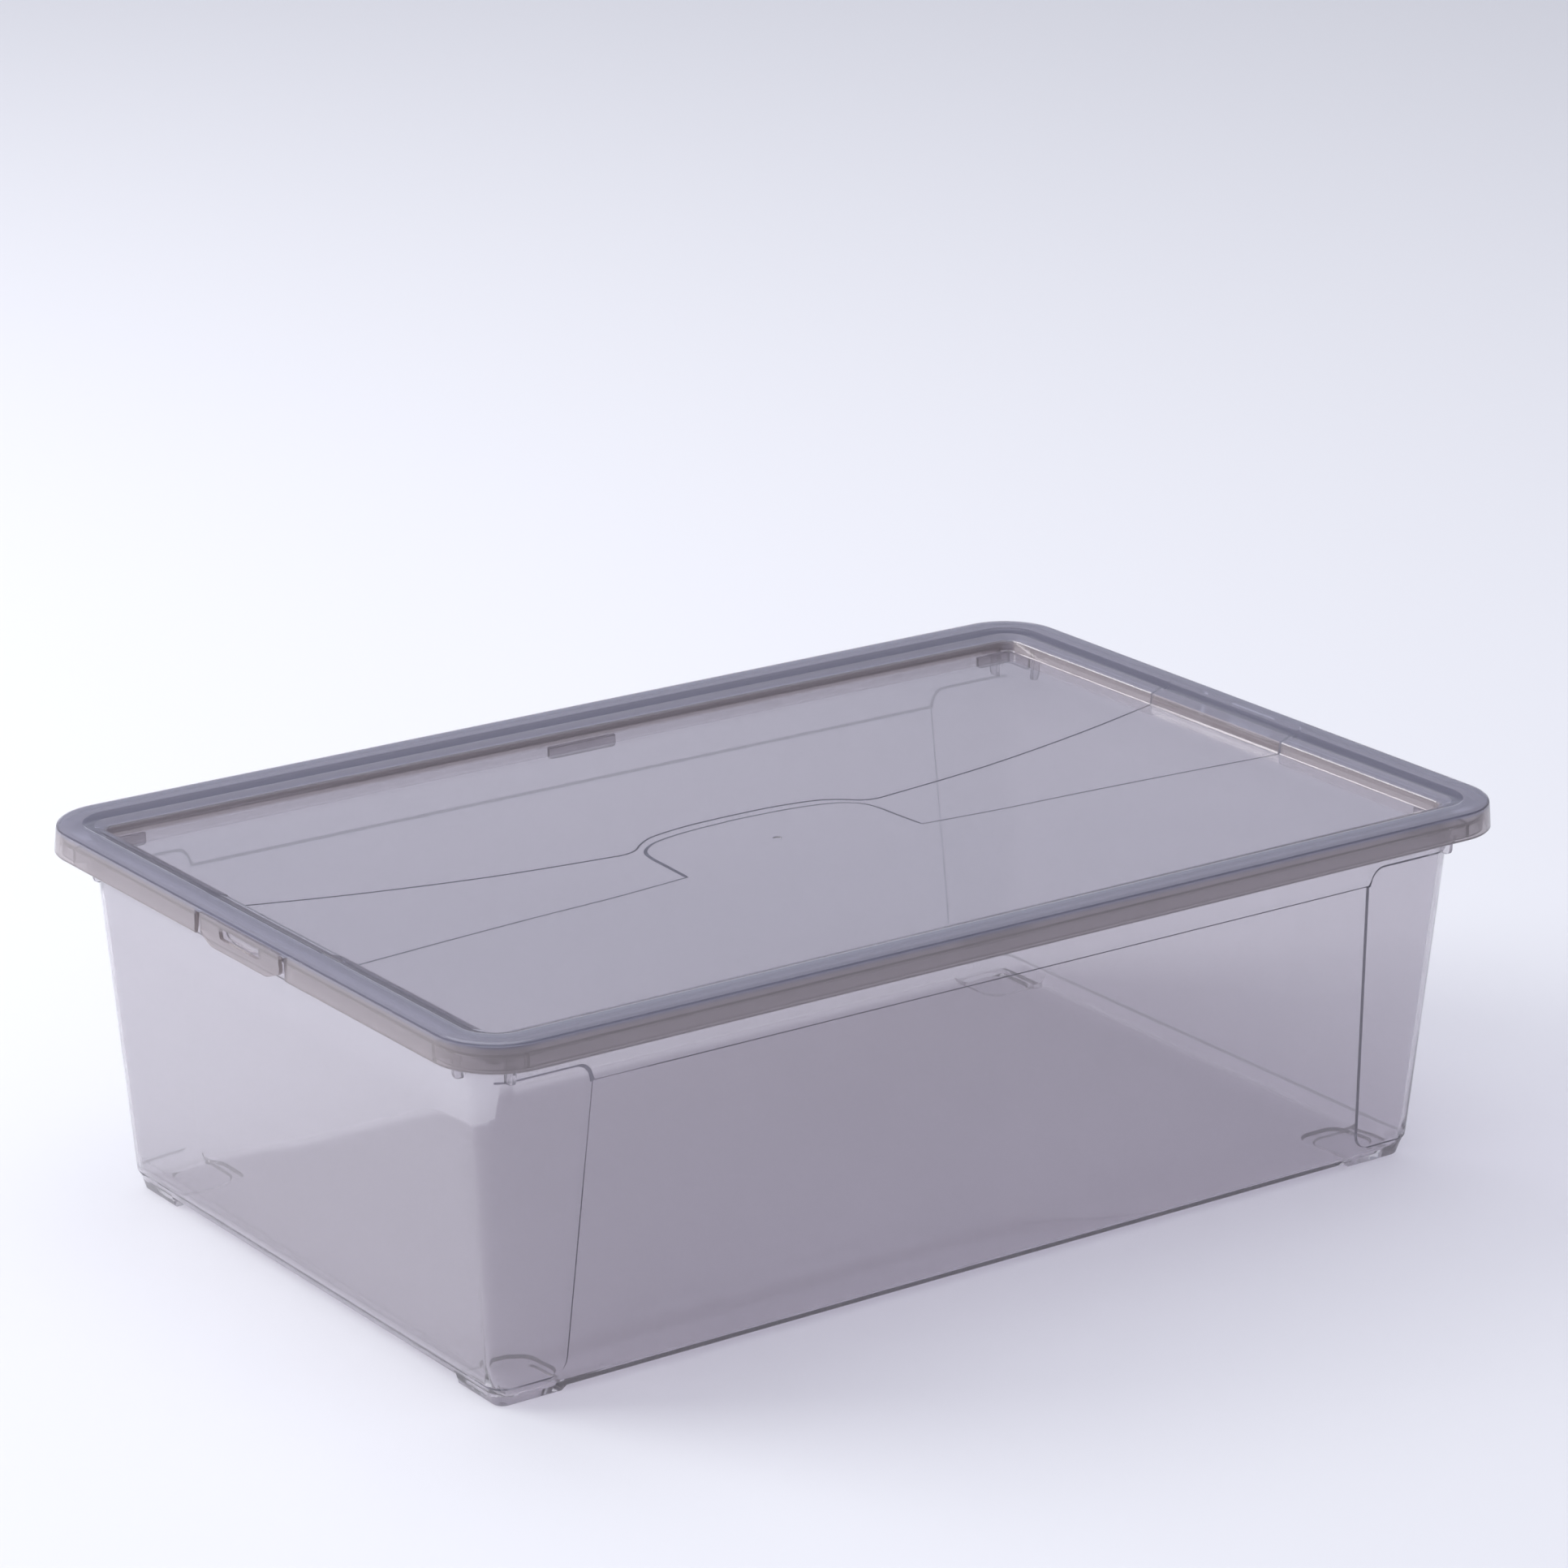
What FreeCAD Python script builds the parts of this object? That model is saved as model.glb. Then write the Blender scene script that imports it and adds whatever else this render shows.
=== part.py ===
"""Shoe box of clear plastic: a tapered tub, a press-on lid and the lid's two latch tabs.

Frame: X along the long side, Y across, +Z up, origin on the ground under the middle of the box.
"""
import FreeCAD, Part
import os
import Sketcher

document = FreeCAD.newDocument("shoe_box")

# ---------------------------------------------------------------- driving dimensions (mm)
DIMENSIONS = {
    # whole box
    "lid_half_length": 180.0, "lid_half_width": 118.2, "box_height": 112.3,
    # tub walls: half sizes at the base, sloping outwards by wall_slope per mm of height
    "base_half_length": 161.2, "base_half_width": 97.6, "base_level": 1.8,
    "wall_slope": 0.077, "wall": 1.2, "floor": 1.5, "tub_corner": 9.0,
    # proud skin of the ends and corners, and the proud collar above it
    "skin": 0.6, "skin_bottom": 6.2, "collar_bottom": 96.3,
    "window_top": 91.0, "window_half_top": 135.0, "window_half_low": 139.5, "skin_bevel": 3.0,
    # tub flange and its turned-down lip
    "flange_top": 108.3, "flange_half_length": 177.6, "flange_half_width": 115.8,
    "flange_corner": 16.5, "lip_bottom": 104.0, "end_lip_bottom": 102.4,
    # feet
    "foot_inset": 2.0, "foot_length": 20.0, "foot_depth": 19.0, "foot_corner": 8.0,
    # gusset ribs under the flange
    "gusset": 1.2, "gusset_bottom": 96.6, "gusset_reach": 4.5, "gusset_x": 160.0, "gusset_y": 95.5,
    # catch lugs on the end lips
    "lug_half_width": 9.5, "lug_low": 105.4, "lug_top": 108.0, "lug_reach": 0.8,
    # lid
    "lid_wall": 1.2, "lid_corner": 19.0, "skirt_bottom": 104.0, "skirt_flare": 0.7,
    "rim_round": 2.2, "crease_inset": 7.8, "crease_corner": 11.0,
    "recess_half_length": 164.7, "recess_half_width": 102.6, "recess_edge": 109.8,
    "recess_corner": 3.5, "panel_top": 106.1, "recess_draft": 0.4,
    # wave contour sunk into the lid panel
    "wave_depth": 0.4, "wave_end_back": 31.5, "wave_end_front": 29.3, "wave_back_low": 12.4,
    "wave_front_low": 14.8, "arch_half_width": 40.0, "arch_back_foot": 15.5,
    "arch_front_foot": 9.0, "arch_back_radius": 97.3, "arch_front_radius": 75.3,
    "flank_back_radius": 590.0, "flank_front_radius": 1300.0,
    # locating ribs under the panel
    "rib": 1.2, "rib_bottom": 101.7, "rib_half_length": 12.0, "rib_leg": 13.0,
    "rib_line_length": 163.5, "rib_line_width": 101.6,
    # latch tabs, each in a notch of the end skirt
    "tab_half_width": 21.2, "slit": 3.0, "notch_top": 110.4, "tab_gap": 0.3,
    "tab_bottom": 102.5, "tab_shoulder": 104.5, "tab_tip_half": 14.8,
    "eye_half_width": 10.5, "eye_low": 105.6, "eye_top": 109.2, "tab": 1.1,
}
sheet = document.addObject("Spreadsheet::Sheet", "dims")
for row, (alias, value) in enumerate(DIMENSIONS.items(), start=1):
    sheet.set(f"A{row}", alias)
    sheet.set(f"B{row}", str(value))
    sheet.setAlias(f"B{row}", alias)
document.recompute()


def formula(text):
    """Put the sheet's name before every alias that stands in a formula."""
    words = text.replace("(", " ( ").replace(")", " ) ").split()
    return " ".join(f"dims.{word}" if word in DIMENSIONS else word for word in words)


def value_of(text):
    """Number that a formula gives with the sheet's present values."""
    return float(sheet.evalExpression(formula(text)))


# ---------------------------------------------------------------- sketch helpers
def new_sketch(body, name, role, level="0"):
    """Empty sketch on one of the body's own origin planes, moved along its normal by level."""
    plane = next(item for item in body.Origin.OriginFeatures if item.Role == role)
    sketch = body.newObject("Sketcher::SketchObject", name)
    sketch.AttachmentSupport = [(plane, "")]
    sketch.MapMode = "FlatFace"
    sketch.setExpression("AttachmentOffset.Base.z", formula(level))
    return sketch


def bind(sketch, kind, name, text, *references):
    """Add a dimension to a sketch and tie it to a formula of the sheet."""
    index = sketch.addConstraint(Sketcher.Constraint(kind, *references, value_of(text)))
    sketch.renameConstraint(index, name)
    sketch.setExpression(f"Constraints.{name}", formula(text))


def rounded_rectangle(sketch, half_x, half_y, corner, tag="rim"):
    """Rectangle about the origin with four equal rounded corners."""
    x, y, radius = value_of(half_x), value_of(half_y), value_of(corner)
    vector = FreeCAD.Vector
    ends = [
        ((-x + radius, -y), (x - radius, -y)),
        ((x, -y + radius), (x, y - radius)),
        ((x - radius, y), (-x + radius, y)),
        ((-x, y - radius), (-x, -y + radius)),
    ]
    lines = [sketch.addGeometry(Part.LineSegment(vector(*a, 0), vector(*b, 0))) for a, b in ends]
    centres = [(x - radius, -y + radius), (x - radius, y - radius),
               (-x + radius, y - radius), (-x + radius, -y + radius)]
    quarter = 1.5707963267948966
    arcs = []
    for index, centre in enumerate(centres):
        circle = Part.Circle(vector(*centre, 0), vector(0, 0, 1), radius)
        start = (index - 1) * quarter
        arcs.append(sketch.addGeometry(Part.ArcOfCircle(circle, start, start + quarter)))
    for index in range(4):
        following = (index + 1) % 4
        sketch.addConstraint(Sketcher.Constraint("Tangent", lines[index], 2, arcs[index], 1))
        sketch.addConstraint(Sketcher.Constraint("Tangent", arcs[index], 2, lines[following], 1))
        direction = "Horizontal" if index % 2 == 0 else "Vertical"
        sketch.addConstraint(Sketcher.Constraint(direction, lines[index]))
    for index in range(3):
        sketch.addConstraint(Sketcher.Constraint("Equal", arcs[index], arcs[index + 1]))
    bind(sketch, "Radius", f"{tag}_corner", corner, arcs[0])
    bind(sketch, "DistanceX", f"{tag}_right", half_x, -1, 1, lines[1], 1)
    bind(sketch, "DistanceY", f"{tag}_top", half_y, -1, 1, lines[2], 1)
    bind(sketch, "DistanceX", f"{tag}_left", half_x, lines[3], 1, -1, 1)
    bind(sketch, "DistanceY", f"{tag}_bottom", half_y, lines[0], 1, -1, 1)


def outline(sketch, corners, tag="p"):
    """Closed outline through the corners (x, y) or (x, y, radius): with a radius, the stretch
    from that corner to the next one is an arc, turning left where the radius is positive."""
    places = [FreeCAD.Vector(value_of(c[0]), value_of(c[1]), 0) for c in corners]
    count = len(corners)
    pieces = []
    for index, corner in enumerate(corners):
        start, end = places[index], places[(index + 1) % count]
        if len(corner) == 2:
            pieces.append((sketch.addGeometry(Part.LineSegment(start, end)), False))
            continue
        size, left = value_of(corner[2]), corner[3]
        half = (end - start) * 0.5
        rise = size - (size ** 2 - half.Length ** 2) ** 0.5
        side = FreeCAD.Vector(half.y, -half.x, 0).normalize()
        middle = start + half + side * (rise if left else -rise)
        arc = Part.Arc(start, middle, end)
        pieces.append((sketch.addGeometry(arc), not left))
    for index in range(count):
        this, flipped = pieces[index]
        following, next_flipped = pieces[(index + 1) % count]
        sketch.addConstraint(Sketcher.Constraint(
            "Coincident", this, 1 if flipped else 2, following, 2 if next_flipped else 1))
    for index, corner in enumerate(corners):
        piece, flipped = pieces[index]
        point = 2 if flipped else 1
        bind(sketch, "DistanceX", f"{tag}{index}_x", corner[0], -1, 1, piece, point)
        bind(sketch, "DistanceY", f"{tag}{index}_y", corner[1], -1, 1, piece, point)
        if len(corner) > 2:
            bind(sketch, "Radius", f"{tag}{index}_radius", corner[2], piece)


# ---------------------------------------------------------------- feature helpers
def new_body(label):
    body = document.addObject("PartDesign::Body", label)
    body.Label = label
    return body


def check_volume(body, before, grows, label):
    """A feature that points the wrong way changes nothing, so its effect is measured."""
    after = body.Shape.Volume
    if (after <= before + 1e-3) if grows else (after >= before - 1e-3):
        raise RuntimeError(f"{label} changes nothing: {before:.1f} to {after:.1f}")


def extrude(body, kind, sketch, length, both=False, reverse=False):
    """Pad or Pocket of a sketch by a formula's length, checked by volume."""
    before = body.Shape.Volume if body.Tip else 0.0
    feature = body.newObject(f"PartDesign::{kind}", f"{sketch.Name}_{kind.lower()}")
    feature.Profile = sketch
    feature.setExpression("Length", formula(length))
    feature.SideType = "Symmetric" if both else "One side"
    feature.Reversed = reverse
    sketch.Visibility = False
    document.recompute()
    check_volume(body, before, kind == "Pad", feature.Name)
    return feature


def loft(body, kind, name, sections):
    """Straight loft, added or cut, through rounded rectangles (level, half_x, half_y, corner)."""
    before = body.Shape.Volume if body.Tip else 0.0
    sketches = []
    for index, (level, half_x, half_y, corner) in enumerate(sections):
        sketch = new_sketch(body, f"{name}_{index}", "XY_Plane", level)
        rounded_rectangle(sketch, half_x, half_y, corner)
        sketches.append(sketch)
    feature = body.newObject(f"PartDesign::{kind}Loft", name)
    feature.Profile = sketches[0]
    feature.Sections = sketches[1:]
    feature.Ruled = True
    document.recompute()
    check_volume(body, before, kind == "Additive", name)
    return feature


def pad_rectangles(body, name, level, height, rectangles):
    """Upright blocks over rectangles (x low, x high, y low, y high) of the ground plan."""
    sketch = new_sketch(body, name, "XY_Plane", level)
    for index, (left, right, low, high) in enumerate(rectangles):
        corners = [(left, low), (right, low), (right, high), (left, high)]
        outline(sketch, corners, tag=f"r{index}_")
    extrude(body, "Pad", sketch, height)


def wall_section(level, offset="0", corner="tub_corner"):
    """Plan of the tub's tapered outer form at a level, moved outwards by an offset."""
    reach = f"wall_slope * ( {level} - base_level ) + {offset}"
    return (level, f"base_half_length + {reach}", f"base_half_width + {reach}",
            f"{corner} + {offset}")


# ---------------------------------------------------------------- tub
def skin_form(body):
    """Proud skin of the ends and corners, cut away over the window of each long side."""
    loft(body, "Additive", "skin_form", [
        wall_section("skin_bottom", "skin"), wall_section("flange_top", "skin")])
    cut = new_sketch(body, "long_side_window", "XZ_Plane")
    low = "window_half_low"
    outline(cut, [
        (f"-1 * {low} - skin_bevel", "skin_bottom - 1"), (f"{low} + skin_bevel", "skin_bottom - 1"),
        (low, "skin_bottom + skin_bevel"), ("window_half_top", "window_top"),
        ("-1 * window_half_top", "window_top"), (f"-1 * {low}", "skin_bottom + skin_bevel")])
    extrude(body, "Pocket", cut, "3 * lid_half_width", both=True)


def feet(body):
    """Four corner feet below the floor, each hollow from inside."""
    def foot(grow, sign_x, sign_y):
        """Plan of one foot, its wall moved outwards by grow, from the corner inwards."""
        far_x = f"{sign_x} * ( base_half_length - foot_inset + {grow} )"
        near_x = f"{sign_x} * ( base_half_length - foot_inset - foot_length - {grow} )"
        far_y = f"{sign_y} * ( base_half_width - foot_inset + {grow} )"
        near_y = f"{sign_y} * ( base_half_width - foot_inset - foot_depth - {grow} )"
        bend_x = f"{sign_x} * ( base_half_length - foot_inset - foot_length - {grow} + foot_corner )"
        bend_y = f"{sign_y} * ( base_half_width - foot_inset - foot_depth - {grow} + foot_corner )"
        out_x = f"{sign_x} * ( base_half_length - foot_inset + {grow} - foot_corner )"
        out_y = f"{sign_y} * ( base_half_width - foot_inset + {grow} - foot_corner )"
        left = sign_x * sign_y > 0
        return [(near_x, far_y), (near_x, bend_y, "foot_corner", left), (bend_x, near_y),
                (far_x, near_y), (far_x, out_y, "foot_corner", left), (out_x, far_y)]

    plan = new_sketch(body, "foot_plan", "XY_Plane")
    hollow = new_sketch(body, "foot_hollow", "XY_Plane", "floor")
    for index, (sign_x, sign_y) in enumerate(((1, 1), (-1, 1), (-1, -1), (1, -1))):
        outline(plan, foot("0", sign_x, sign_y), f"f{index}_")
        outline(hollow, foot("-1 * wall", sign_x, sign_y), f"h{index}_")
    extrude(body, "Pad", plan, "base_level + floor / 2")
    extrude(body, "Pocket", hollow, "base_level + floor", reverse=True)


def flange(body):
    """Flat flange round the mouth with its turned-down lip, lower at the two ends."""
    ring = new_sketch(body, "flange_ring", "XY_Plane", "flange_top - wall")
    rounded_rectangle(ring, "flange_half_length", "flange_half_width", "flange_corner", "outer")
    _, half_x, half_y, corner = wall_section("flange_top", "-1 * wall / 2")
    rounded_rectangle(ring, half_x, half_y, corner, "inner")
    extrude(body, "Pad", ring, "wall")
    lip = new_sketch(body, "lip_ring", "XY_Plane", "lip_bottom")
    rounded_rectangle(lip, "flange_half_length", "flange_half_width", "flange_corner", "outer")
    rounded_rectangle(lip, "flange_half_length - wall", "flange_half_width - wall",
                      "flange_corner - wall", "inner")
    extrude(body, "Pad", lip, "flange_top - lip_bottom")
    low, high = "-1 * gusset_y", "gusset_y"
    pad_rectangles(body, "end_lip", "end_lip_bottom", "lip_bottom - end_lip_bottom + wall / 2", [
        ("flange_half_length - wall", "flange_half_length", low, high),
        ("-1 * flange_half_length", "wall - flange_half_length", low, high)])


def gussets(body):
    """Eight thin ribs that tie the lip to the wall, two at each corner."""
    inner_x = "base_half_length + wall_slope * ( gusset_bottom - base_level ) - wall / 2"
    inner_y = "base_half_width + wall_slope * ( gusset_bottom - base_level ) - wall / 2"
    height = "flange_top - gusset_bottom - wall / 2"
    half = "gusset / 2"
    long_side, short_side = [], []
    for sign_x in (1, -1):
        for sign_y in (1, -1):
            long_side.append((f"{sign_x} * gusset_x - {half}", f"{sign_x} * gusset_x + {half}",
                              f"{sign_y} * ( {inner_y} )",
                              f"{sign_y} * ( {inner_y} + gusset_reach )"))
            short_side.append((f"{sign_x} * ( {inner_x} )",
                               f"{sign_x} * ( {inner_x} + gusset_reach )",
                               f"{sign_y} * gusset_y - {half}", f"{sign_y} * gusset_y + {half}"))
    pad_rectangles(body, "gusset_feet", "gusset_bottom", height, long_side + short_side)
    arms = []
    for sign_x in (1, -1):
        for sign_y in (1, -1):
            arms.append((f"{sign_x} * gusset_x - {half}", f"{sign_x} * gusset_x + {half}",
                         f"{sign_y} * ( {inner_y} )", f"{sign_y} * ( flange_half_width - wall / 2 )"))
            arms.append((f"{sign_x} * ( {inner_x} )", f"{sign_x} * ( flange_half_length - wall / 2 )",
                         f"{sign_y} * gusset_y - {half}", f"{sign_y} * gusset_y + {half}"))
    pad_rectangles(body, "gusset_arms", "lip_bottom", "flange_top - lip_bottom - wall / 2", arms)


def catch_lugs(body):
    """Crescent lug on each end lip, where the latch tab's eye sits over it."""
    for side, role_reverse in ((1, False), (-1, True)):
        level = "flange_half_length - wall / 2"
        sketch = new_sketch(body, "lug_east" if side > 0 else "lug_west", "YZ_Plane",
                            level if side > 0 else f"-1 * ( {level} )")
        crescent(sketch)
        extrude(body, "Pad", sketch, "lug_reach + wall / 2", reverse=role_reverse)


def crescent(sketch):
    """Half-moon with its flat edge on top."""
    radius = "( lug_half_width ^ 2 + ( lug_top - lug_low ) ^ 2 ) / ( 2 * ( lug_top - lug_low ) )"
    outline(sketch, [("-1 * lug_half_width", "lug_top", radius, True),
                     ("lug_half_width", "lug_top")])


def make_tub():
    body = new_body("tub")
    skin_form(body)
    loft(body, "Additive", "main_form", [wall_section("base_level"), wall_section("flange_top")])
    loft(body, "Additive", "collar_form", [
        wall_section("collar_bottom", "2 * skin"), wall_section("flange_top", "2 * skin")])
    feet_level = "base_level + floor"
    loft(body, "Subtractive", "inside", [
        wall_section(feet_level, "-1 * wall"), wall_section("flange_top", "-1 * wall")])
    feet(body)
    flange(body)
    gussets(body)
    catch_lugs(body)
    return body


# ---------------------------------------------------------------- lid
def lid_tray(body):
    """Sloping inner rim, the upright wall below it and the flat panel."""
    under = "lid_wall"
    loft(body, "Additive", "tray_form", [
        (f"panel_top - {under}", f"recess_half_length - recess_draft + {under}",
         f"recess_half_width - recess_draft + {under}", f"recess_corner + {under}"),
        ("recess_edge - lid_wall / 2", f"recess_half_length + {under}",
         f"recess_half_width + {under}", f"recess_corner + {under}"),
        ("box_height - lid_wall / 2", "lid_half_length - crease_inset + lid_wall / 2",
         "lid_half_width - crease_inset + lid_wall / 2", "crease_corner + lid_wall / 2")])
    loft(body, "Subtractive", "tray_hollow", [
        ("panel_top", "recess_half_length - recess_draft", "recess_half_width - recess_draft",
         "recess_corner"),
        ("recess_edge", "recess_half_length", "recess_half_width", "recess_corner"),
        ("box_height", "lid_half_length - crease_inset", "lid_half_width - crease_inset",
         "crease_corner")])


def wave_recess(body):
    """Shallow band between the two wave lines of the panel, arched at the middle."""
    sketch = new_sketch(body, "wave_band", "XY_Plane", "panel_top")
    end, arch = "recess_half_length - recess_draft", "arch_half_width"
    outline(sketch, [
        (f"-1 * ( {end} )", "-1 * wave_end_front", "flank_front_radius", False),
        (f"-1 * {arch}", "-1 * wave_front_low"),
        (f"-1 * {arch}", "arch_front_foot", "arch_front_radius", False),
        (arch, "arch_front_foot"),
        (arch, "-1 * wave_front_low", "flank_front_radius", False),
        (end, "-1 * wave_end_front"),
        (end, "wave_end_back", "flank_back_radius", False),
        (f"{arch} + 1", "wave_back_low"),
        (arch, "arch_back_foot", "arch_back_radius", True),
        (f"-1 * {arch}", "arch_back_foot"),
        (f"-1 * {arch} - 1", "wave_back_low", "flank_back_radius", False),
        (f"-1 * ( {end} )", "wave_end_back")])
    extrude(body, "Pocket", sketch, "wave_depth")


def locating_ribs(body):
    """Short ribs under the panel that centre the lid in the mouth of the tub."""
    half = "rib / 2"
    rectangles = []
    for sign_y in (1, -1):
        rectangles.append(("-1 * rib_half_length", "rib_half_length",
                           f"{sign_y} * rib_line_width - {half}",
                           f"{sign_y} * rib_line_width + {half}"))
    pad_rectangles(body, "middle_ribs", "rib_bottom", "panel_top - rib_bottom - lid_wall / 2",
                   rectangles)
    sketch = new_sketch(body, "corner_ribs", "XY_Plane", "rib_bottom")
    for index, (sign_x, sign_y) in enumerate(((1, 1), (-1, 1), (-1, -1), (1, -1))):
        out_x, in_x = "( rib_line_length + rib / 2 )", "( rib_line_length - rib / 2 )"
        out_y, in_y = "( rib_line_width + rib / 2 )", "( rib_line_width - rib / 2 )"
        corner = [(out_x, out_y), (f"( {out_x} - rib_leg )", out_y), (f"( {out_x} - rib_leg )", in_y),
                  (in_x, in_y), (in_x, f"( {out_y} - rib_leg )"), (out_x, f"( {out_y} - rib_leg )")]
        outline(sketch, [(f"{sign_x} * {x}", f"{sign_y} * {y}") for x, y in corner], f"c{index}_")
    extrude(body, "Pad", sketch, "panel_top - rib_bottom - lid_wall / 2")


def latch_notches(body):
    """Opening in each end skirt for the latch tab and the slits beside it."""
    half = "( tab_half_width + slit )"
    reach = "( lid_half_length - 4 )"
    sketch = new_sketch(body, "notches", "XY_Plane", "notch_top")
    for index, sign in enumerate((1, -1)):
        outline(sketch, [(f"{sign} * {reach}", f"-1 * {half}"), (f"{sign} * ( {reach} + 8 )",
                                                                 f"-1 * {half}"),
                         (f"{sign} * ( {reach} + 8 )", half), (f"{sign} * {reach}", half)],
                f"n{index}_")
    extrude(body, "Pocket", sketch, "notch_top - skirt_bottom + 4")


def skirt_section(level, inset):
    """Plan of the lid's outside at a level, moved inwards from the leaning skirt by an inset."""
    return (level, f"lid_half_length - skirt_flare - {inset}",
            f"lid_half_width - skirt_flare - {inset}", f"lid_corner - skirt_flare - {inset}")


def make_lid():
    body = new_body("lid")
    loft(body, "Additive", "skirt_form", [
        ("skirt_bottom", "lid_half_length", "lid_half_width", "lid_corner"),
        skirt_section("box_height - rim_round", "0"),
        skirt_section("box_height - 0.293 * rim_round", "0.293 * rim_round"),
        skirt_section("box_height", "rim_round")])
    loft(body, "Subtractive", "skirt_hollow", [
        ("skirt_bottom - 1", "lid_half_length - lid_wall", "lid_half_width - lid_wall",
         "lid_corner - lid_wall"),
        ("box_height - lid_wall", "lid_half_length - skirt_flare - lid_wall",
         "lid_half_width - skirt_flare - lid_wall", "lid_corner - skirt_flare - lid_wall")])
    lid_tray(body)
    wave_recess(body)
    locating_ribs(body)
    latch_notches(body)
    return body


# ---------------------------------------------------------------- latch tabs
def make_latch_tab(label, side):
    """Plate with an eye for the catch lug; its top edge is the living hinge."""
    body = new_body(label)
    sketch = new_sketch(body, f"{label}_face", "YZ_Plane",
                        f"{side} * ( lid_half_length - skirt_flare )")
    outline(sketch, [
        ("-1 * tab_tip_half", "tab_bottom"), ("tab_tip_half", "tab_bottom"),
        ("tab_half_width", "tab_shoulder"), ("tab_half_width", "notch_top - tab_gap"),
        ("-1 * tab_half_width", "notch_top - tab_gap"), ("-1 * tab_half_width", "tab_shoulder")])
    outline(sketch, [
        ("-1 * eye_half_width", "eye_low"), ("eye_half_width", "eye_low"),
        ("eye_half_width", "eye_top"), ("-1 * eye_half_width", "eye_top")], "e")
    extrude(body, "Pad", sketch, "tab", both=True)
    return body


# ---------------------------------------------------------------- build, check, export
parts = [
    make_tub(),
    make_lid(),
    make_latch_tab("latch_tab_left", -1),
    make_latch_tab("latch_tab_right", 1),
]
document.recompute()
for item in document.Objects:
    if "Invalid" in item.State or "Error" in item.State:
        raise RuntimeError(f"{item.Name}: {item.State}")

os.makedirs("parts", exist_ok=True)
for body in parts:
    shape = body.Shape
    if shape.isNull() or not shape.isValid() or len(shape.Solids) != 1:
        raise RuntimeError(f"{body.Label}: bad shape, {len(shape.Solids)} solids")
    shape.exportStep(f"parts/{body.Label}.step")
    box = shape.BoundBox
    print(f"{body.Label}: {shape.Volume:.0f} mm3, x {box.XMin:.2f} {box.XMax:.2f}, "
          f"y {box.YMin:.2f} {box.YMax:.2f}, z {box.ZMin:.2f} {box.ZMax:.2f}")
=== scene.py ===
import math

import bmesh
import bpy
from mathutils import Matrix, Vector
from mathutils.geometry import delaunay_2d_cdt


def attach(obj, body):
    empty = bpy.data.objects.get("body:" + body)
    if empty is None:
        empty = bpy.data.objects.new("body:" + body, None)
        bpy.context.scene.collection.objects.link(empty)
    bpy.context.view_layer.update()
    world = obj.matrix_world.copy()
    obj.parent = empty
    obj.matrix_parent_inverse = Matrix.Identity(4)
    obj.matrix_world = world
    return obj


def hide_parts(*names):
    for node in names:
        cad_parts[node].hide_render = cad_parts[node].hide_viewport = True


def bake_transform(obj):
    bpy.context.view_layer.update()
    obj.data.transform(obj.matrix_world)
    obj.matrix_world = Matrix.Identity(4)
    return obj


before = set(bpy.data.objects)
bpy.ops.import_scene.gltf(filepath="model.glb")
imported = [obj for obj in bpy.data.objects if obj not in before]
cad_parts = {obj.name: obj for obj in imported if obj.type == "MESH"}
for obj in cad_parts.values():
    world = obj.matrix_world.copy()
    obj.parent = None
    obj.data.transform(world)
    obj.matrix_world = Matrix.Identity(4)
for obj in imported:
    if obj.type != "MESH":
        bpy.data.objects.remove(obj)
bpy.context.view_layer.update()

# Lengths are in millimetres in the frame's axes; a mesh is scaled to metres when it is made.
# tub: half length and half width at the foot of the wall, and how far the wall leans out per mm
BASE_X, BASE_Y, SLOPE = 161.2, 97.5, 0.077
WALL, FLOOR, FOOT = 1.2, 1.5, 1.6
# how far the corners and the collar stand proud of the window
SKIN, COLLAR = 0.45, 0.95
# window: half length at the top, level of its top edge, and how much the collar line rises beside it
LINE_TOP, COLLAR_LINE, COLLAR_RISE = 134.6, 91.2, 5.3
# window: level of its lower edge and radius of its lower corners
LOW_LINE, LOW_BEND = 6.0, 4.6
# where the feet begin
FOOT_X, FOOT_Y = 139.0, 76.0
# half width, in x or z, of the face of a moulded step in the tub's skin
STEP_HALF = 0.35
TOP = 112.3
# lid panel: level, half length, half width and sag at the middle
PANEL, PANEL_X, PANEL_Y, SAG = 106.15, 164.2, 102.3, 3.0
PANEL_UNDER = 104.95
# sunken band of the panel: y of its back and front lines at the ends, depth, and width of its steps
BAND_BACK, BAND_FRONT, BAND_DEPTH = 31.3, -29.6, 0.15
STEP_BACK, STEP_FRONT = 0.5, 1.1
# half widths of the notch in the end skirt and of the thumb tab in it
NOTCH, TAB = 24.0, 21.0
NOTCH_TOP = 110.6
TAB_THICK, TAB_FOOT = 1.15, 102.5
# the paper lies this many metres under the feet, so that it doesn't share their faces
PAPER_GAP = 0.0003


# ---------------------------------------------------------------- mesh helpers
def smooth(t):
    """Eased step from 0 to 1."""
    t = min(max(t, 0.0), 1.0)
    return t * t * (3 - 2 * t)


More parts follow.
